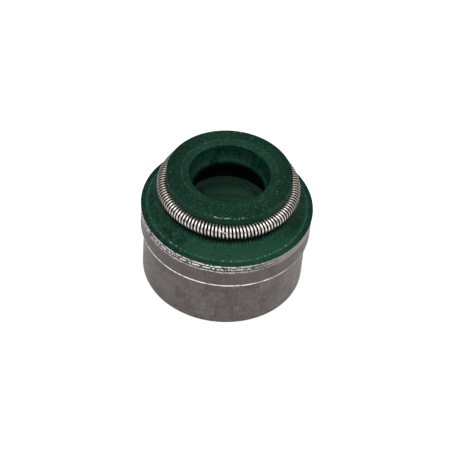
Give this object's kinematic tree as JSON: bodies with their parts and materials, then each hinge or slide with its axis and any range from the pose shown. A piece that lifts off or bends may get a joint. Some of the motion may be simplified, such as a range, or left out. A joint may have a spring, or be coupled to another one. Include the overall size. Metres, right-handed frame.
{
  "type": "valve stem seal",
  "caption": "Round valve stem seal: a drawn steel case with a bonded rubber head and lip, closed on the stem by a coiled garter spring.",
  "frame": {"origin": "centre of the steel case's base, where the seal stands on a flat surface", "axes": "+Z along the valve stem, from the case's open base towards the head and its lip"},
  "size_m": [0.0154, 0.0154, 0.0117],
  "materials": {
    "steel": "bare drawn steel, dull, with fine scratches and a scuffed bright bend",
    "rubber": "dark green moulded fluoro rubber, matt with a soft sheen",
    "spring_steel": "bright drawn spring wire"
  },
  "bodies": {
    "root": {"steel_case": "steel", "rubber_seal": "rubber", "garter_spring": "spring_steel"}
  },
  "joints": []
}
